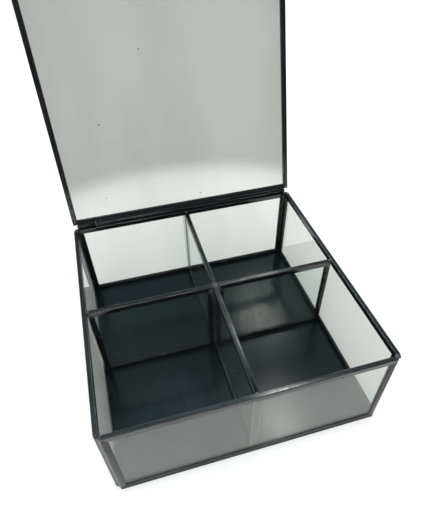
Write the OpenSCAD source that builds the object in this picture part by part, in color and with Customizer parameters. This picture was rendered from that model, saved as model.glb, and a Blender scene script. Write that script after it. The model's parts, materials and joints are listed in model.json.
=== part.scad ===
// Divided glass box with a framed glass lid, which stands open on its rear
// hinge. Every pane sits in metal U-channels that are mitred at the corners.
// The four wall panels meet corner to corner on the base plate, so that each
// upright corner has a square notch, which is filled with solder.
// Origin: middle of the base's underside. +X is right, +Y rear and +Z up.

/* [Box] */
// Outside width, over the left and right panels
box_w = 160; // [120:1:240]
// Outside depth, over the front and rear panels
box_d = 160; // [120:1:240]
// Height of the rim of the walls above the table
box_h = 61; // [40:0.5:120]
// Thickness of the base plate
base_t = 1.5; // [1:0.1:4]

/* [Panes] */
// Thickness of every glass pane
glass_t = 2; // [1.5:0.1:3]
// Gap between the edge of a pane and the web of its channel
pane_gap = 0.3; // [0.1:0.1:0.8]

/* [Channels] */
// Thickness of the two side walls of a channel
side_t = 0.4; // [0.3:0.05:0.8]
// Thickness of the web of a channel
web_t = 0.6; // [0.5:0.05:1]
// Depth of the channels on the walls and the lid
wall_leg = 3.3; // [2.5:0.1:6]
// Depth of the channels on the dividers
divider_leg = 3.7; // [2.5:0.1:6]
// Radius of the two rounded edges along the web of a channel
edge_r = 0.5; // [0.1:0.05:0.5]

/* [Dividers] */
// How far the dividers stop below the rim of the walls
divider_drop = 0.3; // [0.1:0.1:10]
// Place of the long divider, to the right of the middle
long_divider_x = 0; // [-30:1:30]
// Place of the cross dividers, behind the middle
cross_divider_y = 0; // [-30:1:30]

/* [Seams] */
// How far the solder in the corner notches stays behind the outside faces
seam_recess = 0.5; // [0.5:0.1:1.5]
// Radius of the hollow face of the solder
seam_hollow = 4.6; // [3:0.1:10]
// Width of the clear beads beside the ends of the long divider
bead_w = 1.6; // [1:0.1:2.5]
// Thickness of a seam or a bead along its thin edges
feather_t = 0.15; // [0.1:0.01:0.3]

/* [Lid] */
// How far the edges of the lid lie inside the outside of the box
lid_inset = 0.65; // [0:0.05:2]
// Gap between the closed lid and the rim of the walls
lid_gap = 0.2; // [0.15:0.05:0.5]
// Angle between the closed lid and the lid as it stands open
lid_open = 106; // [95:1:115]

/* [Hinge] */
// Outside diameter of the hinge barrels
barrel_d = 2.7; // [2.5:0.1:3.2]
// Gap between the hinge barrels and the rim under them
barrel_gap_z = 0.25; // [0.2:0.05:0.6]
// How far the hinge barrels stand out behind the rear panel
barrel_overhang = 0.75; // [0.7:0.05:1.2]
// Length of each of the two barrels on the lid
knuckle_l = 12; // [6:1:30]
// Play between neighbouring barrels along the rod
end_play = 0.25; // [0.1:0.05:0.6]
// Distance between the barrels and the side of the box
hinge_inset = 3.75; // [2:0.25:20]
// Gap between the hinge barrels and the rear channel of the lid
swing_gap = 0.35; // [0.3:0.05:1]
// Thickness of the pads that join the barrels to the lid
pad_t = 1.2; // [0.8:0.1:1.4]
// Width of the foot under the barrel of the box
foot_w = 1.2; // [0.8:0.1:1.3]
// Diameter of the hinge rod
rod_d = 1.5; // [1:0.1:1.7]
// Running clearance around the hinge rod, on the radius
rod_clearance = 0.05; // [0.02:0.01:0.1]
// Diameter of the two heads of the hinge rod
head_d = 2.1; // [1.9:0.1:2.5]
// Thickness of the two heads of the hinge rod
head_t = 0.5; // [0.3:0.1:1]

/* [Lid stops] */
// Thickness of the tail that stops each barrel of the lid
tail_t = 0.6; // [0.4:0.05:0.6]
// Reach of the tail below the hinge rod
tail_l = 3.6; // [2.8:0.1:4.5]
// Play between the tail and the rear panel
stop_gap = 0.08; // [0.04:0.01:0.12]

/* [Hidden] */
$fn = 48;
// How far a cutting shape reaches past what it cuts
cut = 1;
channel_t = glass_t + 2 * side_t;
pane_inset = web_t + pane_gap;
inner_w = box_w - 2 * channel_t;
inner_d = box_d - 2 * channel_t;
wall_h = box_h - base_t;
divider_h = wall_h - divider_drop;
// The beads run between the channels above and below them
bead_bottom = base_t + max(wall_leg, divider_leg);
bead_top = min(box_h - wall_leg, box_h - divider_drop - divider_leg);
// Hinge
barrel_r = barrel_d / 2;
bore_d = rod_d + 2 * rod_clearance;
axis_y = box_d / 2 + barrel_overhang - barrel_r;
axis_z = box_h + barrel_gap_z + barrel_r;
hinge_l = box_w - 2 * hinge_inset;
tube_l = hinge_l - 2 * (knuckle_l + end_play);
knuckle_x = (hinge_l - knuckle_l) / 2;
// Lid, as it lies closed
lid_edge = barrel_r + swing_gap;
lid_lift = box_h + lid_gap + channel_t / 2 - axis_z;
lid_w = box_w - 2 * lid_inset;
lid_d = axis_y - lid_edge + box_d / 2 - lid_inset;
// Finishes
black_metal = [0.17, 0.17, 0.17];
black_base = [0.13, 0.15, 0.15];
dark_solder = [0.25, 0.25, 0.24];
clear_glass = [0.82, 0.86, 0.83, 0.4];
clear_seal = [0.72, 0.75, 0.73, 0.7];

// The sides of the box, anticlockwise seen from above. The edges of a panel
// are counted in the same way: 0 is its bottom, 1 right, 2 top and 3 left.
SIDES = ["front", "right", "rear", "left"];
HALVES = ["left", "right"];

function wall_glass_name(side) = str(SIDES[side], "_glass");
function wall_channel_name(side, edge) =
  str(SIDES[side], "_", edge == 0 ? "bottom" : edge == 2 ? "top" : SIDES[(side + edge) % 4], "_channel");
function seam_name(corner) =
  str(corner < 2 ? "rear_" : "front_", corner % 3 == 0 ? "right" : "left", "_seam");
function bead_name(end) = str("long_divider_", SIDES[2 * end], "_bead");
function long_channel_name(edge) = str("long_divider_", edge == 0 ? "bottom" : "top", "_channel");
function cross_glass_name(half) = str("cross_", HALVES[half], "_glass");
function cross_channel_name(half, edge) =
  str("cross_", HALVES[half], "_",
      edge == 0 ? "bottom" : edge == 2 ? "top" : (edge == 1) == (half == 0) ? "inner" : "wall",
      "_channel");
function lid_channel_name(edge) = str("lid_", SIDES[edge], "_channel");
function knuckle_name(half) = str("lid_", HALVES[half], "_knuckle");

// ---- Panels: X along the panel, Y from its bottom edge, Z through it --------

// Section of a channel: its web on the X axis, its groove open towards +Y
module channel_section(leg) {
  difference() {
    union() {
      translate([-channel_t / 2, edge_r]) square([channel_t, leg - edge_r]);
      translate([edge_r - channel_t / 2, 0]) square([channel_t - 2 * edge_r, leg]);
      for (side = [-1, 1])
        translate([side * (channel_t / 2 - edge_r), edge_r]) circle(r = edge_r);
    }
    translate([-glass_t / 2, web_t]) square([glass_t, leg]);
  }
}

// A channel with square ends along the bottom edge
module channel(length, leg) {
  rotate([0, 90, 0])
    linear_extrude(height = length, center = true) channel_section(leg);
}

// The same channel with both ends mitred, as long as the edge it covers
module mitred_channel(length, leg) {
  half = length / 2;
  intersection() {
    channel(length + 2 * cut, leg);
    linear_extrude(height = 2 * channel_t, center = true)
      polygon([[-half - cut, -cut], [half + cut, -cut],
               [half - leg - cut, leg + cut], [leg + cut - half, leg + cut]]);
  }
}

// Turns what lies along the bottom edge onto another edge of the panel
module on_edge(edge, width, height) {
  translate([0, height / 2, 0])
    rotate([0, 0, 90 * edge])
      translate([0, -(edge % 2 == 0 ? height : width) / 2, 0]) children();
}

module frame_channel(edge, width, height, leg) {
  on_edge(edge, width, height) mitred_channel(edge % 2 == 0 ? width : height, leg);
}

// A pane that reaches to within the gap of the webs all round
module pane(width, height) {
  translate([0, height / 2, 0])
    cube([width - 2 * pane_inset, height - 2 * pane_inset, glass_t], center = true);
}

// Fill in a right-angled corner, along the +X and +Y axes, with a hollow face
// between its two thin edges
module fillet(width, hollow) {
  chord = (width - feather_t) * sqrt(2);
  depth = sqrt(pow(hollow, 2) - pow(chord / 2, 2));
  centre = (width + feather_t) / 2 + depth / sqrt(2);
  difference() {
    square(width);
    translate([centre, centre]) circle(r = hollow);
  }
}

// ---- Base and walls ---------------------------------------------------------

module base_plate() {
  color(black_base)
    linear_extrude(height = base_t) {
      square([box_w, inner_d], center = true);
      square([inner_w, box_d], center = true);
    }
}

function wall_w(side) = side % 2 == 0 ? inner_w : inner_d;

module on_wall(side) {
  rotate([0, 0, 90 * side])
    translate([0, (channel_t - (side % 2 == 0 ? box_d : box_w)) / 2, base_t])
      rotate([90, 0, 0]) children();
}

module wall_glass(side) {
  color(clear_glass) on_wall(side) pane(wall_w(side), wall_h);
}

module wall_channel(side, edge) {
  color(black_metal) on_wall(side) frame_channel(edge, wall_w(side), wall_h, wall_leg);
}

// Solder from the underside of the base to the rim. Corner 0 is rear right,
// and the others follow anticlockwise.
module seam(corner) {
  x = corner % 3 == 0 ? 1 : -1;
  y = corner < 2 ? 1 : -1;
  color(dark_solder)
    translate([x * inner_w / 2, y * inner_d / 2, 0])
      rotate([0, 0, 90 * corner])
        linear_extrude(height = box_h - edge_r) fillet(channel_t - seam_recess, seam_hollow);
}

// ---- Dividers ---------------------------------------------------------------

module on_long_divider() {
  translate([long_divider_x, 0, base_t]) rotate([90, 0, 90]) children();
}

// One pane from front to rear. Its ends have no channel.
module long_divider_glass() {
  color(clear_glass)
    on_long_divider()
      translate([-inner_d / 2, pane_inset, -glass_t / 2])
        cube([inner_d, divider_h - 2 * pane_inset, glass_t]);
}

module long_divider_channel(edge) {
  color(black_metal)
    on_long_divider() on_edge(edge, inner_d, divider_h) channel(inner_d, divider_leg);
}

// Seals the bare end of the long divider to the pane of the wall.
// End 0 is the front and end 1 the rear.
module long_divider_bead(end) {
  color(clear_seal)
    translate([long_divider_x, 0, bead_bottom])
      rotate([0, 0, 180 * end])
        translate([0, -inner_d / 2 - side_t, 0])
          linear_extrude(height = bead_top - bead_bottom) {
            translate([-glass_t / 2, 0]) square([glass_t, side_t]);
            translate([glass_t / 2, 0]) fillet(bead_w, bead_w);
            mirror([1, 0]) translate([glass_t / 2, 0]) fillet(bead_w, bead_w);
          }
}

// Each cross divider reaches from the long divider to one side wall
function cross_w(half) = (inner_w - channel_t) / 2 + (half == 0 ? 1 : -1) * long_divider_x;

module on_cross_divider(half) {
  x = (half == 0 ? -1 : 1) * (channel_t + cross_w(half)) / 2;
  translate([long_divider_x + x, cross_divider_y, base_t]) rotate([90, 0, 0]) children();
}

module cross_glass(half) {
  color(clear_glass) on_cross_divider(half) pane(cross_w(half), divider_h);
}

module cross_channel(half, edge) {
  color(black_metal)
    on_cross_divider(half) frame_channel(edge, cross_w(half), divider_h, divider_leg);
}

// ---- Hinge ------------------------------------------------------------------

module on_axis() {
  translate([0, axis_y, axis_z]) children();
}

// Sweeps a section, drawn looking along -X with the hinge axis at its origin
module along_axis(length) {
  on_axis() rotate([90, 0, 90]) linear_extrude(height = length, center = true) children();
}

// The barrel of the box, on a foot along the flat of the rim
module hinge_tube() {
  color(black_metal)
    along_axis(tube_l) difference() {
      union() {
        circle(d = barrel_d);
        translate([box_d / 2 - edge_r - foot_w - axis_y, box_h - axis_z])
          square([foot_w, axis_z - box_h]);
      }
      circle(d = bore_d);
    }
}

// The rod through all three barrels, with a head on each end
module hinge_rod() {
  head_x = hinge_l / 2 + end_play;
  color(black_metal) {
    along_axis(2 * head_x + head_t) circle(d = rod_d);
    for (end = [-1, 1])
      translate([end * (head_x + head_t / 2), 0, 0]) along_axis(head_t) circle(d = head_d);
  }
}

// ---- Lid: drawn closed, then turned open about the hinge axis ----------------

module on_lid() {
  on_axis()
    rotate([-lid_open, 0, 0]) translate([0, -lid_edge - lid_d, lid_lift]) children();
}

module lid_glass() {
  color(clear_glass) on_lid() pane(lid_w, lid_d);
}

module lid_channel(edge) {
  color(black_metal) on_lid() frame_channel(edge, lid_w, lid_d, wall_leg);
}

// A barrel with the pad that holds it to the lid, and the tail that comes to
// rest against the rear panel when the lid is fully open
module knuckle_section() {
  difference() {
    union() {
      circle(d = barrel_d);
      rotate(-lid_open)
        translate([-lid_edge, lid_lift - pad_t / 2]) square([lid_edge, pad_t]);
      translate([box_d / 2 + stop_gap - axis_y, -tail_l]) square([tail_t, tail_l]);
    }
    circle(d = bore_d);
  }
}

module lid_knuckle(half) {
  color(black_metal)
    translate([(half == 0 ? -1 : 1) * knuckle_x, 0, 0])
      along_axis(knuckle_l) knuckle_section();
}

// ---- Parts ------------------------------------------------------------------

base_plate();
for (side = [0:3]) {
  wall_glass(side);
  for (edge = [0:3])
    wall_channel(side, edge);
}
for (corner = [0:3])
  seam(corner);
long_divider_glass();
for (edge = [0, 2])
  long_divider_channel(edge);
for (end = [0, 1])
  long_divider_bead(end);
for (half = [0, 1]) {
  cross_glass(half);
  for (edge = [0:3])
    cross_channel(half, edge);
}
hinge_tube();
hinge_rod();
lid_glass();
for (edge = [0:3])
  lid_channel(edge);
for (half = [0, 1])
  lid_knuckle(half);
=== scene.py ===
# %% [markdown]
# # A divided glass box in black channels
# This lesson dresses a small glass storage box: clear panes in thin metal
# channels, a glossy black base, and a framed lid that stands open. The packed
# model already has every piece at its real size, and everything here is drawn
# in the same frame, in metres. So no piece is ever moved: we only finish the
# surfaces and add the small things that a maker leaves behind, such as solder.

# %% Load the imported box
import json
import math

import bmesh
import bpy
from mathutils import Euler, Matrix, Vector, noise


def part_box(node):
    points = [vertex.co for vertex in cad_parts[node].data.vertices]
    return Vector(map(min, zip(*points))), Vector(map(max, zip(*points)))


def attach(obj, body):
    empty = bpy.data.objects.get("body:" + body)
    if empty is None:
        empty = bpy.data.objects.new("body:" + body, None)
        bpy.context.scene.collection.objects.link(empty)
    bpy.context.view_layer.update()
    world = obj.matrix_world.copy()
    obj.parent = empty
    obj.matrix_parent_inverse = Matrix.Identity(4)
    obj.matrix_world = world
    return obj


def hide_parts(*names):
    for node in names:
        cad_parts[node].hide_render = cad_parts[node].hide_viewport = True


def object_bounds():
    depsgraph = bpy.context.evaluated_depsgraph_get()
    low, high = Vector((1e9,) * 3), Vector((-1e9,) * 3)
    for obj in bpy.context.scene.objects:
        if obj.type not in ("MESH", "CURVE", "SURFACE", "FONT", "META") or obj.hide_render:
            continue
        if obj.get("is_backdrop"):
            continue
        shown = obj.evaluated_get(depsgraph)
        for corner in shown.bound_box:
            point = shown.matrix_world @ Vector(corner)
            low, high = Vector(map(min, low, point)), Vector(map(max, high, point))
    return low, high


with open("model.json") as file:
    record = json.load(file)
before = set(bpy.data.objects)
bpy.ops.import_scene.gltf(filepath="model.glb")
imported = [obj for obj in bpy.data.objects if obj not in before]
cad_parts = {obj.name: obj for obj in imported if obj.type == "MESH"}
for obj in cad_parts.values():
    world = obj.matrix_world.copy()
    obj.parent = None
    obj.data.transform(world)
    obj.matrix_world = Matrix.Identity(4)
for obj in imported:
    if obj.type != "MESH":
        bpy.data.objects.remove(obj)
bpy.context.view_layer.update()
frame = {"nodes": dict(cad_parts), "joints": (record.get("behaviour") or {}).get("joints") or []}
nodes = frame["nodes"]
MM = 0.001

# %% [markdown]
# ## Camera
# A photograph is matched best by giving Blender the camera that took it. The
# place, the turn and the focal length below were worked out from the straight
# edges of the box. The optical axis didn't pass through the middle of the
# picture, because the picture was cropped, and the camera's shift says so.

# %% Camera
PICTURE_W = 433
PICTURE_H = 527
FOCAL_PX = 442.5
AXIS_PX = (219.1, 281.8)
CAMERA_PLACE = Vector((-46.9, -181.3, 254.9)) * MM
CAMERA_TURN = Euler([math.radians(a) for a in (44.34, 0.73, -16.06)])

camera_data = bpy.data.cameras.new("portrait_camera")
camera_data.lens = FOCAL_PX / PICTURE_H * camera_data.sensor_width
camera_data.shift_x = (PICTURE_W / 2 - AXIS_PX[0]) / PICTURE_H
camera_data.shift_y = (AXIS_PX[1] - PICTURE_H / 2) / PICTURE_H
camera_data.clip_start = 0.01
camera = bpy.data.objects.new("portrait_camera", camera_data)
camera.location = CAMERA_PLACE
camera.rotation_euler = CAMERA_TURN
bpy.context.scene.collection.objects.link(camera)
bpy.context.scene.camera = camera
bpy.context.scene.view_settings.view_transform = "Standard"
print(f"lens {camera_data.lens:.1f} mm, {CAMERA_PLACE.length / MM:.0f} mm from the box's foot")

# %% [markdown]
# ## Node helpers
# A material is a small graph. These helpers keep each one short to read: one
# makes a node and sets its sockets, and the others are the three sums that
# every finish here needs. They are arithmetic, a smooth ramp from one range to
# another, and a blend of two colours.

# %% Node helpers
def add_node(tree, kind, sockets=None, **settings):
    """A new node, with its settings, and a value or a link for each socket."""
    node = tree.nodes.new(kind)
    for name, value in settings.items():
        setattr(node, name, value)
    for name, value in (sockets or {}).items():
        if isinstance(value, bpy.types.NodeSocket):
            tree.links.new(value, node.inputs[name])
        else:
            node.inputs[name].default_value = value
    return node


def maths(tree, operation, a, b=0.5, clamp=False):
    made = add_node(tree, "ShaderNodeMath", {0: a, 1: b}, operation=operation, use_clamp=clamp)
    return made.outputs[0]


def ramp(tree, value, low, high, to_low=0.0, to_high=1.0):
    """value, taken from the range low to high onto the range to_low to to_high."""
    sockets = {"Value": value, "From Min": low, "From Max": high, "To Min": to_low, "To Max": to_high}
    return add_node(tree, "ShaderNodeMapRange", sockets, interpolation_type="SMOOTHSTEP").outputs[0]


def blend_colors(tree, share, first, second):
    """first where share is 0, second where it is 1. A blend node's colours are its sockets 6 and 7."""
    sockets = {0: share, 6: first, 7: second}
    return add_node(tree, "ShaderNodeMix", sockets, data_type="RGBA").outputs[2]


# %% [markdown]
# ## Shared effects
# Wear and dust show on several finishes. Each effect is built once, as a node
# group with named inputs and outputs, and every finish that needs it places the
# group with its own values. A group puts out masks and values only. The shader
# itself stays in the material, where the export can read it.

# %% A node group
FLOAT = "NodeSocketFloat"
VECTOR = "NodeSocketVector"


def new_group(name, inputs, outputs):
    """A node group, with the sockets that go into it and out of it."""
    group = bpy.data.node_groups.new(name, "ShaderNodeTree")
    for label, kind, value in inputs:
        socket = group.interface.new_socket(label, in_out="INPUT", socket_type=kind)
        if value is not None:
            socket.default_value = value
    for label in outputs:
        group.interface.new_socket(label, in_out="OUTPUT", socket_type=FLOAT)
    given = group.nodes.new("NodeGroupInput").outputs
    return group, given, group.nodes.new("NodeGroupOutput").inputs


# %% [markdown]
# ## Patina
# The channels were blackened chemically. Such a skin is uneven. It mottles in
# cloudy spots, it keeps the fine lines that were drawn into the metal along its
# length, and handling rubs it thin on every edge. The Bevel node finds edges:
# where its rounded normal turns away from the true one, an edge is near. The
# clouds break that line up, so that it doesn't look ruled. Channels, solder and
# rod all wear like this.

# %% Patina group
GRAIN_SCALE = 2600.0

patina, given, result = new_group(
    "patina",
    [
        ("Place", VECTOR, None),
        ("Lines", VECTOR, None),
        ("Edge width", FLOAT, 0.3 * MM),
        ("Cloud scale", FLOAT, 420.0),
    ],
    ["Clouds", "Drawn lines", "Worn edge", "Height"],
)
squeezed = add_node(
    patina, "ShaderNodeVectorMath", {0: given["Place"], 1: given["Lines"]}, operation="MULTIPLY"
)
drawn = add_node(
    patina, "ShaderNodeTexNoise", {"Vector": squeezed.outputs[0], "Scale": 1.0, "Detail": 2.0}
)
clouds = add_node(
    patina, "ShaderNodeTexNoise",
    {"Vector": given["Place"], "Scale": given["Cloud scale"], "Detail": 4.0},
)
grain = add_node(
    patina, "ShaderNodeTexNoise", {"Vector": given["Place"], "Scale": GRAIN_SCALE, "Detail": 3.0}
)
rounded = add_node(patina, "ShaderNodeBevel", {"Radius": given["Edge width"]}, samples=4)
true_normal = add_node(patina, "ShaderNodeNewGeometry").outputs["Normal"]
turned = add_node(
    patina, "ShaderNodeVectorMath", {0: rounded.outputs[0], 1: true_normal}, operation="DOT_PRODUCT"
)
edge = ramp(patina, turned.outputs["Value"], 0.995, 0.88)
rubbed = maths(patina, "MULTIPLY", edge, ramp(patina, clouds.outputs[0], 0.3, 0.55, 0.4))
patina.links.new(clouds.outputs[0], result["Clouds"])
patina.links.new(drawn.outputs[0], result["Drawn lines"])
patina.links.new(rubbed, result["Worn edge"])
patina.links.new(grain.outputs[0], result["Height"])
print(f"patina group: {len(patina.nodes)} nodes")

# %% [markdown]
# ## Dust and wiping
# No glass is perfectly clean. A thin film of dust and old wiping marks makes it
# a little milky, in long soft streaks, and a few specks stick to it. Streaks
# are noise on squeezed coordinates: a pattern that is scaled far less along
# one axis gets long along it. The lacquer of the base gathers the same marks.

# %% Film group
SPECK_SPACING = 22 * MM

film, given, result = new_group(
    "film",
    [
        ("Place", VECTOR, None),
        ("Streak size", VECTOR, (60.0, 60.0, 9.0)),
        ("Speck size", FLOAT, 0.5 * MM),
    ],
    ["Streaks", "Smudges", "Specks"],
)
squeezed = add_node(
    film, "ShaderNodeVectorMath", {0: given["Place"], 1: given["Streak size"]}, operation="MULTIPLY"
)
streaks = add_node(
    film, "ShaderNodeTexNoise", {"Vector": squeezed.outputs[0], "Scale": 1.0, "Detail": 3.0}
)
smudges = add_node(
    film, "ShaderNodeTexNoise",
    {"Vector": given["Place"], "Scale": 22.0, "Detail": 2.0, "Distortion": 0.3},
)
cells = add_node(film, "ShaderNodeTexVoronoi", {"Vector": given["Place"], "Scale": 1 / SPECK_SPACING})
nearness = maths(film, "MULTIPLY", cells.outputs["Distance"], SPECK_SPACING)
is_speck = maths(film, "LESS_THAN", nearness, given["Speck size"])
film.links.new(streaks.outputs[0], result["Streaks"])
film.links.new(smudges.outputs[0], result["Smudges"])
film.links.new(is_speck, result["Specks"])
print(f"film group: {len(film.nodes)} nodes, a speck about every {SPECK_SPACING / MM:.0f} mm")

# %% [markdown]
# ## An empty finish
# Every finish starts from the same few nodes. All of them read Object
# coordinates: a piece's place is in its mesh, so a pattern is in real metres,
# and it stays on the piece when the lid turns.

# %% An empty finish
def new_finish(name):
    """An empty material, its tree, its Principled node and its Object coordinates."""
    finish = bpy.data.materials.new(name)
    finish.use_nodes = True
    tree = finish.node_tree
    shader = next(n for n in tree.nodes if n.type == "BSDF_PRINCIPLED")
    place = add_node(tree, "ShaderNodeTexCoord").outputs["Object"]
    return finish, tree, shader, place


# %% [markdown]
# ## Blackened metal
# The channels are soft metal with a chemical blackening. It is a thin skin on a
# metal, so it mirrors like a metal, only darkly: about a tenth of the light.
# The drawn lines in it are a little lighter. Where it is rubbed the bare metal
# shows, and that gives thin bright lines on the rounded edges. They are what
# lets the eye read a channel 3 mm wide. One function makes all the finishes of
# this family, because they differ only in their values.

# %% Blackened metal
ALONG = 40.0
ACROSS = 1500.0
LINES = {
    "x": (ALONG, ACROSS, ACROSS),
    "y": (ACROSS, ALONG, ACROSS),
    "z": (ACROSS, ACROSS, ALONG),
    "lid": (ACROSS, ALONG, ALONG),
}
GRAIN_DEPTH = 0.04 * MM


def grey(value, warm=0.0):
    """A linear colour. warm shifts it from neutral towards brown, and below 0 towards blue."""
    return (value * (1 + warm), value, value * (1 - warm), 1)


def blackened_metal(name, dark, bare, roughness, bump, run="x", cloud_scale=420.0, rubbed=0.0):
    """A black skin on metal. rubbed says how much of it is gone in the most rubbed clouds."""
    finish, tree, shader, place = new_finish(name)
    inputs = {"Place": place, "Lines": LINES[run], "Cloud scale": cloud_scale}
    skin = add_node(tree, "ShaderNodeGroup", inputs, node_tree=patina).outputs
    mottled = ramp(tree, skin["Clouds"], 0.35, 0.7)
    black = blend_colors(tree, mottled, grey(dark, -0.05), grey(1.25 * dark, 0.02))
    lined = ramp(tree, skin["Drawn lines"], 0.35, 0.65)
    black = blend_colors(tree, lined, black, grey(1.9 * dark, -0.02))
    thinned = ramp(tree, skin["Clouds"], 0.35, 0.65, 0.0, rubbed)
    thinned = maths(tree, "MAXIMUM", thinned, skin["Worn edge"])
    color = blend_colors(tree, thinned, black, grey(bare, 0.05))
    blur = ramp(tree, skin["Clouds"], 0.3, 0.7, roughness, roughness + 0.1)
    relief = {"Height": skin["Height"], "Strength": bump, "Distance": GRAIN_DEPTH}
    relief = add_node(tree, "ShaderNodeBump", relief).outputs[0]
    tree.links.new(color, shader.inputs["Base Color"])
    tree.links.new(blur, shader.inputs["Roughness"])
    tree.links.new(relief, shader.inputs["Normal"])
    shader.inputs["Metallic"].default_value = 0.95
    return finish


# %% [markdown]
# ## The finishes of the metal
# A channel's faces are smooth and dark, and its lines follow its length, so
# there is one finish for each direction. The rims of its legs are cut and
# handled, so there the black is partly gone. Solder takes the blackening
# unevenly. The hinge rod is the lightest, because only its polished heads show.

# %% Metal finishes
channel_black = {}
for run in LINES:
    channel_black[run] = blackened_metal(
        f"channel_black_{run}", dark=0.07, bare=0.25, roughness=0.13, bump=0.12, run=run,
    )
channel_rim = blackened_metal(
    "channel_rim", dark=0.1, bare=0.3, roughness=0.18, bump=0.2, cloud_scale=70.0, rubbed=0.7,
)
solder_black = blackened_metal(
    "solder_black", dark=0.09, bare=0.35, roughness=0.28, bump=0.7, cloud_scale=350.0, rubbed=0.35,
)
rod_black = blackened_metal("rod_black", dark=0.12, bare=0.5, roughness=0.24, bump=0.3)
print(f"{len(channel_black) + 3} finishes of blackened metal")

# %% [markdown]
# ## Lacquered base
# The base is a sheet with a deep gloss lacquer, nearly a black mirror with a
# cool tint. Wiping marks raise its roughness a little, in wide soft spots, and
# that spreads a lamp's image into a glow. A blur grows with distance, so the
# image of a channel is sharp at its foot and soft away from it, with no extra
# work. The front left compartment was wiped badly, and a smear of dust there
# makes the black greyer.

# %% Lacquered base
BASE_STREAKS = (80.0, 16.0, 25.0)
DUSTY = (0.034, 0.05, 0.055, 1)
SMEAR_PLACE = (-0.03, -0.06, 0.0)
SMEAR_REACH = 0.06

base_gloss, tree, shader, place = new_finish("base_gloss")
sockets = {"Place": place, "Streak size": BASE_STREAKS}
marks = add_node(tree, "ShaderNodeGroup", sockets, node_tree=film).outputs
tint = blend_colors(tree, marks["Smudges"], (0.002, 0.006, 0.008, 1), (0.006, 0.011, 0.013, 1))
from_smear = add_node(tree, "ShaderNodeVectorMath", {0: place, 1: SMEAR_PLACE}, operation="DISTANCE")
smeared = ramp(tree, from_smear.outputs["Value"], SMEAR_REACH, 0.2 * SMEAR_REACH, 0.12, 0.7)
dust = maths(tree, "MULTIPLY", smeared, ramp(tree, marks["Streaks"], 0.3, 0.8, 0.4, 1.0))
tree.links.new(blend_colors(tree, dust, tint, DUSTY), shader.inputs["Base Color"])
tree.links.new(ramp(tree, marks["Smudges"], 0.35, 0.75, 0.16, 0.19), shader.inputs["Roughness"])
print(f"base lacquered, with a smear that reaches {SMEAR_REACH / MM:.0f} mm")

# %% [markdown]
# ## Glass
# Real glass bends and mirrors light by its index, 1.52. The tint sits in the
# base colour, and wiping streaks take it away in places. A few percent of milky
# film comes from a Transmission Weight just below 1. Lamps would leave a hard
# black shadow behind each pane, because a shadow ray can't bend, so rays for
# shadows see a clear sheet instead.

# %% Glass
GLASS_INDEX = 1.52
WIPED_AND_SHEEN = (0.98, 0.99, 0.97, 1)
SPECK = (0.05, 0.05, 0.04, 1)
CLEAR_SHEET = (0.86, 0.88, 0.86, 1)


def clear_glass(name, tint, clearness, streak_size, streak_and_sheen_share):
    """Glass with a film. streak_and_sheen_share says how much of the tint the streaks take away; on the
    lid these streaks are partly painted reflection.
    """
    finish, tree, shader, place = new_finish(name)
    sockets = {"Place": place, "Streak size": streak_size}
    marks_and_painted_light = add_node(tree, "ShaderNodeGroup", sockets, node_tree=film).outputs
    streaks = ramp(tree, marks_and_painted_light["Streaks"], 0.35, 0.7, 0.0, streak_and_sheen_share)
    color = blend_colors(tree, streaks, tint, WIPED_AND_SHEEN)
    color = blend_colors(tree, marks_and_painted_light["Specks"], color, SPECK)
    tree.links.new(color, shader.inputs["Base Color"])
    shader.inputs["Roughness"].default_value = 0.0
    shader.inputs["IOR"].default_value = GLASS_INDEX
    shader.inputs["Transmission Weight"].default_value = clearness
    lamp_ray = add_node(tree, "ShaderNodeLightPath").outputs["Is Shadow Ray"]
    sheet = add_node(tree, "ShaderNodeBsdfTransparent", {"Color": CLEAR_SHEET}).outputs[0]
    shown = add_node(tree, "ShaderNodeMixShader", {0: lamp_ray, 1: shader.outputs[0], 2: sheet})
    output = next(n for n in tree.nodes if n.type == "OUTPUT_MATERIAL")
    tree.links.new(shown.outputs[0], output.inputs["Surface"])
    return finish


# %% [markdown]
# ## The panes' own glass
# The lid is the dirtiest pane, with the longest streaks, and the dividers inside the box are the
# cleanest. Each tint was set by comparing a pane with a photograph of the box: the dividers are a little
# greener, the lid is greyer. The lid's grey is partly painted shade, standing in for the darker room seen
# through it. Its long upright streaks are partly wiping marks and partly painted reflection of bands of
# light.

# %% Kinds of glass
wall_glass = clear_glass(
    "wall_glass", tint=(0.89, 0.93, 0.89, 1), clearness=0.97,
    streak_size=(35.0, 35.0, 14.0), streak_and_sheen_share=0.7,
)
divider_glass = clear_glass(
    "divider_glass", tint=(0.86, 0.94, 0.92, 1), clearness=0.994,
    streak_size=(60.0, 60.0, 9.0), streak_and_sheen_share=0.1,
)
# The lid's darker tint is partly painted shade, and its strong streaks are partly painted reflection.
lid_glass = clear_glass(
    "lid_glass", tint=(0.78, 0.82, 0.775, 1), clearness=0.98,
    streak_size=(11.0, 11.0, 2.0), streak_and_sheen_share=1.0,
)
print(f"3 kinds of glass, of index {GLASS_INDEX}")

# %% [markdown]
# ## Clear sealant
# The bare ends of the long divider are held by beads of clear sealant. It bends light a little less than
# glass, and it is slightly milky and not quite smooth, so that it blurs what is behind it. Along a bead's
# two edges, the one on the pane and the one out on the wall, a dark colour is painted. This painted shade
# stands in for the darkening where light bends at a clear bead's edges, so that a bead looks like a pale
# strip between two thin dark lines.

# %% Clear sealant
SEALANT_INDEX = 1.38
PAINTED_EDGE_SHADE = (0.3, 0.32, 0.31, 1)
bead_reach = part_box("long_divider_rear_bead")[1].x
pane_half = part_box("long_divider_glass")[1].x

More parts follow.
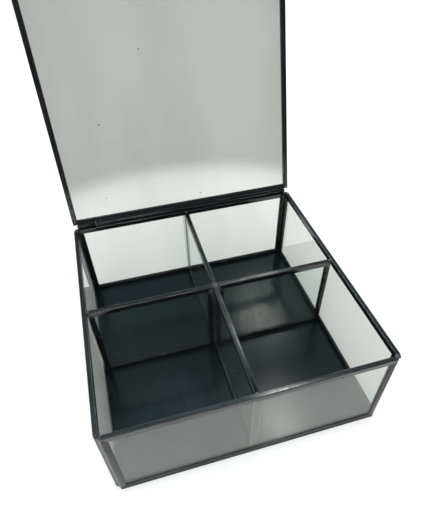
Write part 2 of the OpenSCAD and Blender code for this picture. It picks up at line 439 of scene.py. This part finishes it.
sealant, tree, shader, place = new_finish("sealant")
sideways = add_node(tree, "ShaderNodeSeparateXYZ", {0: place}).outputs["X"]
sideways = maths(tree, "ABSOLUTE", sideways)
# at_pane and at_wall mark the bead's two edges. There the colour is painted shade, the darkening where
# light bends at a clear bead's edges.
at_pane = ramp(tree, sideways, pane_half + 0.5 * MM, pane_half + 0.2 * MM)
at_wall = ramp(tree, sideways, bead_reach - 0.4 * MM, bead_reach - 0.1 * MM)
marks_and_painted_light = maths(tree, "MAXIMUM", at_pane, maths(tree, "MULTIPLY", at_wall, 0.6))
lumps = add_node(tree, "ShaderNodeTexNoise", {"Vector": place, "Scale": 500.0, "Detail": 2.0}).outputs[0]
milky = blend_colors(tree, lumps, (0.82, 0.85, 0.82, 1), (0.94, 0.95, 0.93, 1))
tree.links.new(blend_colors(tree, marks_and_painted_light, milky, PAINTED_EDGE_SHADE), shader.inputs["Base Color"])
shader.inputs["Roughness"].default_value = 0.12
shader.inputs["Transmission Weight"].default_value = 0.94
shader.inputs["IOR"].default_value = SEALANT_INDEX
print(f"sealant from {pane_half / MM:.2f} to {bead_reach / MM:.2f} mm off the middle")

# %% [markdown]
# ## Finish the plain pieces
# A pane is a plain slab, the rod is hidden but for its heads, and the base is a
# flat sheet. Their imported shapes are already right, so each of them only needs
# its finish assigned.

# %% Finish the plain pieces
PLAIN_PIECES = {
    "front_glass": (wall_glass, "glass"),
    "right_glass": (wall_glass, "glass"),
    "rear_glass": (wall_glass, "glass"),
    "left_glass": (wall_glass, "glass"),
    "long_divider_glass": (divider_glass, "glass"),
    "cross_left_glass": (divider_glass, "glass"),
    "cross_right_glass": (divider_glass, "glass"),
    "lid_glass": (lid_glass, "glass"),
    "hinge_rod": (rod_black, "hinge_rod"),
    "base_plate": (base_gloss, "base_plate"),
}
for name, (finish, slot) in PLAIN_PIECES.items():
    nodes[name].data.materials.clear()
    nodes[name].data.materials.append(finish)
print(f"{len(PLAIN_PIECES)} packed pieces finished as they are")

# %% [markdown]
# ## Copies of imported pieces
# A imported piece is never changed, and its triangles are loose. To change a
# shape, we copy it into a bmesh, join what touches, and merge the triangles of
# each flat face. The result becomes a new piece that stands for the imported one.

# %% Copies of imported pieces
SHARP = math.radians(35)


def joined_copy(name):
    """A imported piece's shape as one skin, with flat faces merged."""
    form = bmesh.new()
    form.from_mesh(nodes[name].data)
    bmesh.ops.remove_doubles(form, verts=form.verts, dist=1e-7)
    flat = math.radians(0.5)
    bmesh.ops.dissolve_limit(form, angle_limit=flat, verts=form.verts, edges=form.edges)
    return form


def new_piece(name, form, body, finishes, stands_for=None, smooth_angle=SHARP):
    """An object of a bmesh, with its finishes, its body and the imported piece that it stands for."""
    mesh = bpy.data.meshes.new(name)
    for face in form.faces:
        face.smooth = True
    form.to_mesh(mesh)
    form.free()
    mesh.set_sharp_from_angle(angle=smooth_angle)
    for finish in finishes:
        mesh.materials.append(finish)
    piece = bpy.data.objects.new(name, mesh)
    bpy.context.scene.collection.objects.link(piece)
    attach(piece, body)
    if stands_for:
        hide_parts(stands_for)


# %% [markdown]
# ## Break the sharp edges of the metal
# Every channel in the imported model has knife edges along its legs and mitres,
# and a knife edge never catches light. We bevel what is still sharp in each
# copy by less than a tenth of a millimetre. At a mitre the two bevels make the
# fine groove that shows where two lengths of channel meet. Faces as narrow as a
# bevel or a leg's rim get the rubbed finish, and the rest gets the lines that
# follow its length.

# %% Bevelled metal
BEVEL = 0.08 * MM
RIM_WIDTH = 0.12 * MM


def body_of(name):
    return "lid" if name.startswith("lid_") else "box"


def run_of(name):
    """The axis that a length of channel runs along. The lid's sides lean, so they have their own."""
    if name in ("lid_left_channel", "lid_right_channel"):
        return "lid"
    low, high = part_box(name)
    return "xyz"[max(range(3), key=lambda i: (high - low)[i])]


def bevelled_copy(name):
    """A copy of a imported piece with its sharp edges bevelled, which stands for it."""
    form = joined_copy(name)
    sharp = [e for e in form.edges if len(e.link_faces) == 2 and e.calc_face_angle() > SHARP]
    bmesh.ops.bevel(
        form, geom=sharp, offset=BEVEL, offset_type="OFFSET", affect="EDGES",
        segments=2, profile=0.5, material=-1, clamp_overlap=True,
    )
    for face in form.faces:
        longest = max(e.calc_length() for e in face.edges)
        if face.calc_area() < RIM_WIDTH * longest:
            face.material_index = 1
    finishes = [channel_black[run_of(name)], channel_rim]
    new_piece(f"{name}_metal", form, body_of(name), finishes, name)


metal_names = [n for n in sorted(nodes) if n.endswith(("_channel", "_knuckle")) or n == "hinge_tube"]
for name in metal_names:
    bevelled_copy(name)
print(f"{len(metal_names)} pieces of metal bevelled by {BEVEL / MM:.2f} mm")

# %% [markdown]
# ## Beads of sealant
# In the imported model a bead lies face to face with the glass. A renderer can't
# tell which of two faces in one place comes first, and then it skips one, and
# the bead turns black. So each bead is drawn a hair smaller all round, which
# leaves a thin gap of air.

# %% Sealant beads
AIR_GAP = 0.03 * MM

for end in ("front", "rear"):
    bead = f"long_divider_{end}_bead"
    form = joined_copy(bead)
    form.normal_update()
    moves = [vert.normal * vert.calc_shell_factor() * AIR_GAP for vert in form.verts]
    for vert, move in zip(form.verts, moves):
        vert.co -= move
    new_piece(f"{bead}_clear", form, "box", [sealant], bead)
print(f"2 beads drawn {AIR_GAP / MM:.2f} mm inside their packed faces")

# %% [markdown]
# ## Solder in the corner notches
# The four walls meet corner to corner, and solder fills the notch between them
# from top to bottom. Molten metal that freezes in steps leaves a lumpy face.
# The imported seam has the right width, so only its free face is pushed in and
# out along its length, by noise of two sizes, and its two edges stay on the
# walls.

# %% Lumpy seams
SEAM_CUTS = 90
LUMP_DEPTH = 0.13 * MM
LONG_LUMP = 3 * MM
SHORT_LUMP = 0.9 * MM
HELD_EDGE = 0.6 * MM
SHORT_SIDE = 10 * MM


def lumps_at(point, size, seed=0.0):
    """Smooth noise from -1 to 1 whose lumps are about size long."""
    return noise.noise(point / size + Vector((seed, 0, 0)))


def lumpy_seam(name):
    """A copy of a packed seam with a lumpy face, which stands for it."""
    low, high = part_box(name)
    side_x = math.copysign(1, low.x)
    side_y = math.copysign(1, low.y)
    root = Vector((low.x if side_x > 0 else high.x, low.y if side_y > 0 else high.y, 0))
    outward = Vector((side_x, side_y, 0)).normalized()
    form = joined_copy(name)
    upright = [e for e in form.edges if abs(e.verts[0].co.z - e.verts[1].co.z) > SHORT_SIDE]
    bmesh.ops.subdivide_edges(form, edges=upright, cuts=SEAM_CUTS, use_grid_fill=True)
    for vert in form.verts:
        off = vert.co - root
        free = min(1.0, min(abs(off.x), abs(off.y)) / HELD_EDGE)
        lump = lumps_at(vert.co, LONG_LUMP) + 0.5 * lumps_at(vert.co, SHORT_LUMP)
        vert.co += outward * free * LUMP_DEPTH * lump
    new_piece(f"{name}_solder", form, "box", [solder_black], name)


seam_names = [n for n in sorted(nodes) if n.endswith("_seam")]
for name in seam_names:
    lumpy_seam(name)
print(f"{len(seam_names)} seams, {SEAM_CUTS} steps each")

# %% [markdown]
# ## A drop of solder
# Where channels meet, a drop of solder holds them. A drop is an uneven dome: a
# ball squashed to the drop's width and height, and cut flat where it sits. The
# noise that makes it uneven is read on the ball, before it is squashed, so that
# a wide drop isn't lumpier than a small one.

# %% A drop of solder
SUNK = 0.02 * MM
ROUND_ANGLE = math.radians(60)


def solder_drop(name, body, seat, spread, height, seed):
    """A flat dome. seat is a matrix with its origin on the metal, and its Z pointing away from it."""
    form = bmesh.new()
    bmesh.ops.create_icosphere(form, subdivisions=4, radius=1.0)
    for vert in form.verts:
        wave = 1 + 0.22 * lumps_at(vert.co, 0.9, seed)
        vert.co = Vector((vert.co.x * wave * spread[0], vert.co.y * wave * spread[1], vert.co.z * height))
    bmesh.ops.bisect_plane(
        form, geom=form.verts[:] + form.edges[:] + form.faces[:], dist=1e-9,
        plane_co=(0, 0, 0), plane_no=(0, 0, 1), clear_inner=True,
    )
    cut = [e for e in form.edges if len(e.link_faces) == 1]
    bmesh.ops.edgeloop_fill(form, edges=cut)
    bmesh.ops.translate(form, vec=(0, 0, -SUNK), verts=form.verts)
    bmesh.ops.transform(form, matrix=seat, verts=form.verts)
    new_piece(name, form, body, [solder_black], smooth_angle=ROUND_ANGLE)


# %% [markdown]
# ## Drops on the box
# A drop joins the dividers where they cross, one joins each of their ends to
# the rim, and one closes each corner of the rim. All of them stay low. Those on
# the corners lie under the closed lid, which leaves a gap of only 0.2 mm.

# %% Drops on the box
CROSSING_SPREAD = (1.5 * MM, 1.7 * MM)
CROSSING_HEIGHT = 0.22 * MM
JOINT_SPREAD = 1.3 * MM
FRONT_JOINT_SPREAD = 0.8 * MM
JOINT_DOME = 0.28
CORNER_SPREAD = 1.5 * MM
CORNER_HEIGHT = 0.12 * MM

rim_low, rim_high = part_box("front_top_channel")
rail_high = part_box("long_divider_top_channel")[1]
crossing = Matrix.Translation((0, 0, rail_high.z))
solder_drop("crossing_solder", "box", crossing, CROSSING_SPREAD, CROSSING_HEIGHT, 1.0)

reach = rail_high.y
JOINTS = {"front": (0, -reach), "rear": (0, reach), "left": (-reach, 0), "right": (reach, 0)}
for count, (side, (x, y)) in enumerate(JOINTS.items()):
    seat = Matrix.Translation((x, y, rail_high.z))
    size = FRONT_JOINT_SPREAD if side == "front" else JOINT_SPREAD
    solder_drop(f"{side}_joint_solder", "box", seat, (size, size), JOINT_DOME * size, 5.0 + count)

middle = reach + 0.25 * (rim_high.y - rim_low.y)
CORNERS = {"front_left": (-1, -1), "front_right": (1, -1), "rear_left": (-1, 1), "rear_right": (1, 1)}
for count, (corner, (x, y)) in enumerate(CORNERS.items()):
    seat = Matrix.Translation((x * middle, y * middle, rim_high.z))
    spread = (CORNER_SPREAD, CORNER_SPREAD)
    solder_drop(f"{corner}_corner_solder", "box", seat, spread, CORNER_HEIGHT, 12.0 + count)
print(f"{1 + len(JOINTS) + len(CORNERS)} drops, {(CORNER_HEIGHT - SUNK) / MM:.2f} mm high on the rim")

# %% [markdown]
# ## The lid as it lies closed
# The lid is easiest to measure as it lies closed, flat and square. A matrix
# built from the hinge's own axis and range turns any place there to where it
# is on the open lid, and its inverse closes the lid to be measured.

# %% The closed lid
hinge = frame["joints"][0]
pivot = Vector(hinge["pos_m"])
swing = Matrix.Rotation(-math.radians(hinge["range_deg"][1]), 4, Vector(hinge["axis"]))
OPENED = Matrix.Translation(pivot) @ swing @ Matrix.Translation(-pivot)


def closed_box(name):
    """A lid piece's lowest and highest corners as they are with the lid closed."""
    closed = OPENED.inverted()
    places = [closed @ vert.co for vert in nodes[name].data.vertices]
    low = Vector([min(p[i] for p in places) for i in range(3)])
    high = Vector([max(p[i] for p in places) for i in range(3)])
    return low, high


lid_low = closed_box("lid_front_channel")[0]
lid_high = closed_box("lid_rear_channel")[1]
print(f"the closed lid lies from {lid_low.z / MM:.1f} to {lid_high.z / MM:.1f} mm up")

# %% [markdown]
# ## Drops on the lid
# Each mitre of the lid's frame is soldered above and below. The drops below are
# nearly flat, because they meet the rim. Along the rear, a low ridge of solder
# holds the pad of each short barrel to the lid's channel.

# %% Drops on the lid
FACE_DOWN = Matrix.Rotation(math.pi, 4, "X")
FACE_BACK = Matrix.Rotation(-math.pi / 2, 4, "X")
MITRE_INSET = 1.7 * MM
TOP_SPREAD = (0.9 * MM, 0.9 * MM)
TOP_HEIGHT = 0.14 * MM
UNDER_SPREAD = (1.0 * MM, 1.0 * MM)
UNDER_HEIGHT = 0.07 * MM
RIDGE_SPREAD = (5.0 * MM, 0.4 * MM)
RIDGE_HEIGHT = 0.32 * MM
RIDGE_RISE = 0.8 * MM

for count, (corner, (x, y)) in enumerate(CORNERS.items()):
    place_x = x * (lid_high.x - MITRE_INSET)
    place_y = lid_low.y + MITRE_INSET if y < 0 else lid_high.y - MITRE_INSET
    over = OPENED @ Matrix.Translation((place_x, place_y, lid_high.z))
    under = OPENED @ Matrix.Translation((place_x, place_y, lid_low.z)) @ FACE_DOWN
    solder_drop(f"lid_{corner}_top_solder", "lid", over, TOP_SPREAD, TOP_HEIGHT, 20.0 + count)
    solder_drop(f"lid_{corner}_under_solder", "lid", under, UNDER_SPREAD, UNDER_HEIGHT, 30.0 + count)
for count, side in enumerate(("left", "right")):
    low, high = closed_box(f"lid_{side}_knuckle")
    place = ((low.x + high.x) / 2, lid_high.y, (lid_low.z + lid_high.z) / 2 + RIDGE_RISE)
    seat = OPENED @ Matrix.Translation(place) @ FACE_BACK
    solder_drop(f"lid_{side}_pad_solder", "lid", seat, RIDGE_SPREAD, RIDGE_HEIGHT, 40.0 + count)
print(f"{2 * len(CORNERS) + 2} drops, {(UNDER_HEIGHT - SUNK) / MM:.2f} mm high below the lid")

# %% [markdown]
# ## Floor
# The box stands on a large pale table. It is one flat grid, marked as the stage
# so that it never becomes part of the box.

# %% Floor
floor_form = bmesh.new()
bmesh.ops.create_grid(floor_form, x_segments=1, y_segments=1, size=6.0)
floor_mesh = bpy.data.meshes.new("floor")
floor_form.to_mesh(floor_mesh)
floor_form.free()
floor = bpy.data.objects.new("floor", floor_mesh)
bpy.context.scene.collection.objects.link(floor)
floor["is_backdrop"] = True
print(f"floor of {floor.dimensions.x:.0f} by {floor.dimensions.y:.0f} m")

# %% [markdown]
# ## The floor's finish
# The table is diffuse, so it takes the soft shadow of the box. It glows a little, only for rays that come
# straight from the camera, so that the ground looks white without throwing more light on the box. A
# mirror or a pane doesn't get that white. What it sees instead is light and shade painted on the table.
# Near the box the table is bright, and a painted glow round the box's foot, seen through a pane, lifts
# the box's shadow there. Farther off, painted shade turns it grey, and where the table ends in front,
# painted shade makes it dark.

# %% Floor finish
WHITE = (1, 1, 1, 1)
BLACK = (0, 0, 0, 1)
TABLE = (0.86, 0.86, 0.86, 1)
TABLE_NEAR = (0.86, 0.87, 0.85, 1)
TABLE_FAR_PAINTED_SHADE = (0.545, 0.555, 0.54, 1)
TABLE_END_PAINTED_SHADE = (0.09, 0.105, 0.1, 1)
FOOT_GLOW = (0.5, 0.5, 0.5, 1)

pale, tree, shader, place = new_finish("pale_floor")
path = add_node(tree, "ShaderNodeLightPath").outputs
through_glass = path["Is Transmission Ray"]
mirrored = maths(tree, "SUBTRACT", path["Is Glossy Ray"], through_glass, clamp=True)
distance = add_node(tree, "ShaderNodeVectorMath", {0: place}, operation="LENGTH").outputs["Value"]
rearward = add_node(tree, "ShaderNodeSeparateXYZ", {0: place}).outputs["Y"]
# Painted shade: the table as panes and mirrors see it darkens away from the box, and in mirrors it goes
# dark in front.
painted_falloff_around_box = blend_colors(tree, ramp(tree, distance, 0.215, 0.26), TABLE_NEAR, TABLE_FAR_PAINTED_SHADE)
in_mirrors = blend_colors(tree, ramp(tree, rearward, -0.2, -0.45), painted_falloff_around_box, TABLE_END_PAINTED_SHADE)
color = blend_colors(tree, through_glass, TABLE, painted_falloff_around_box)
color = blend_colors(tree, mirrored, color, in_mirrors)
tree.links.new(color, shader.inputs["Base Color"])
shader.inputs["Roughness"].default_value = 0.9
shader.inputs["Specular IOR Level"].default_value = 0.0
# Painted light: a glow round the box's foot, seen only through glass, lifts the box's shadow there.
glow = blend_colors(tree, ramp(tree, distance, 0.18, 0.26), FOOT_GLOW, BLACK)
glow = blend_colors(tree, through_glass, BLACK, glow)
glow = blend_colors(tree, path["Is Camera Ray"], glow, WHITE)
tree.links.new(glow, shader.inputs["Emission Color"])
shader.inputs["Emission Strength"].default_value = 0.4
floor_mesh.materials.append(pale)
print(f"floor finish: {len(tree.nodes)} nodes")

# %% [markdown]
# ## World
# Even light from all sides does most of the work: it's what only diffuse rays
# see. The camera sees white. Mirrors see a room: a bright wall behind the box,
# little light from the front, and a cool ceiling that is lighter high up behind
# the box and dark from straight overhead to the front. A ray that has come
# through glass sees one even grey near the ground, as light as the far table,
# so that no hard horizon shows in a pane.

# %% World
AMBIENT = (0.84, 0.84, 0.85, 1)
FRONT_WALL = (0.08, 0.085, 0.09, 1)
REAR_WALL = (0.7, 0.72, 0.7, 1)
THROUGH_GLASS = (0.5, 0.515, 0.5, 1)
CEILING = (0.19, 0.27, 0.30, 1)
HIGH_CEILING = (0.30, 0.39, 0.42, 1)
OVERHEAD = (0.07, 0.08, 0.09, 1)

world = bpy.data.worlds.new("studio")
bpy.context.scene.world = world
world.use_nodes = True
tree = world.node_tree
sky = next(n for n in tree.nodes if n.type == "BACKGROUND")
path = add_node(tree, "ShaderNodeLightPath").outputs
heading = add_node(tree, "ShaderNodeTexCoord").outputs["Generated"]
heading = add_node(tree, "ShaderNodeSeparateXYZ", {0: heading}).outputs
around = blend_colors(tree, ramp(tree, heading["Y"], 0.3, 0.9), FRONT_WALL, REAR_WALL)
around = blend_colors(tree, path["Is Transmission Ray"], around, THROUGH_GLASS)
above = blend_colors(tree, ramp(tree, heading["Z"], 0.75, 0.88), CEILING, HIGH_CEILING)
above = blend_colors(tree, ramp(tree, heading["Y"], 0.3, 0.1), above, OVERHEAD)
room = blend_colors(tree, ramp(tree, heading["Z"], 0.15, 0.6), around, above)
seen = blend_colors(tree, path["Is Glossy Ray"], AMBIENT, room)
seen = blend_colors(tree, path["Is Camera Ray"], seen, WHITE)
tree.links.new(seen, sky.inputs["Color"])
print(f"world: {len(tree.nodes)} nodes")

# %% [markdown]
# ## Lamps
# A weak, large soft box over the left shoulder gives form. Two small ones high
# up behind the box, a little to the right, aren't there for their light. Their
# mirror images make the bright stretch on the front rail and the soft warm
# glows on the base. Their places follow from those images, since a mirror sends
# the eye's ray to the lamp.

# %% Lamps
BOX_MIDDLE = Vector((0, 0, 0.05))
SHOULDER_PLACE = Vector((-0.4015, -0.5734, 1.2124))
LAMP_HEIGHT = 1.0
LAMP_WIDTH = 0.09
WARM_WHITE = (1.0, 0.96, 0.92)


def soft_box(name, place, width, length, radiance, color=(1, 1, 1)):
    """An area lamp that faces down and looks as bright as radiance says, where white paper is 1."""
    lamp_data = bpy.data.lights.new(name, "AREA")
    lamp_data.shape = "RECTANGLE"
    lamp_data.size = width
    lamp_data.size_y = length
    lamp_data.energy = radiance * math.pi * width * length
    lamp_data.color = color
    lamp = bpy.data.objects.new(name, lamp_data)
    lamp.location = place
    bpy.context.scene.collection.objects.link(lamp)
    return lamp


shoulder_lamp = soft_box("shoulder_lamp", SHOULDER_PLACE, width=0.9, length=0.9, radiance=0.8)
to_box = BOX_MIDDLE - SHOULDER_PLACE
shoulder_lamp.rotation_euler = to_box.to_track_quat("-Z", "Y").to_euler()
near_place = (0.29, 0.38, LAMP_HEIGHT)
far_place = (0.37, 0.80, LAMP_HEIGHT)
soft_box("near_lamp", near_place, LAMP_WIDTH, length=0.17, radiance=9.0, color=WARM_WHITE)
soft_box("far_lamp", far_place, LAMP_WIDTH, length=0.16, radiance=12.0, color=WARM_WHITE)
print(f"3 lamps, two of them {LAMP_HEIGHT:.0f} m above the table")

# %% [markdown]
# ## Bounds of the dressed box
# The last cell measures the bounds of the dressed box, leaving out the floor.

# %% Finish
low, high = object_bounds()
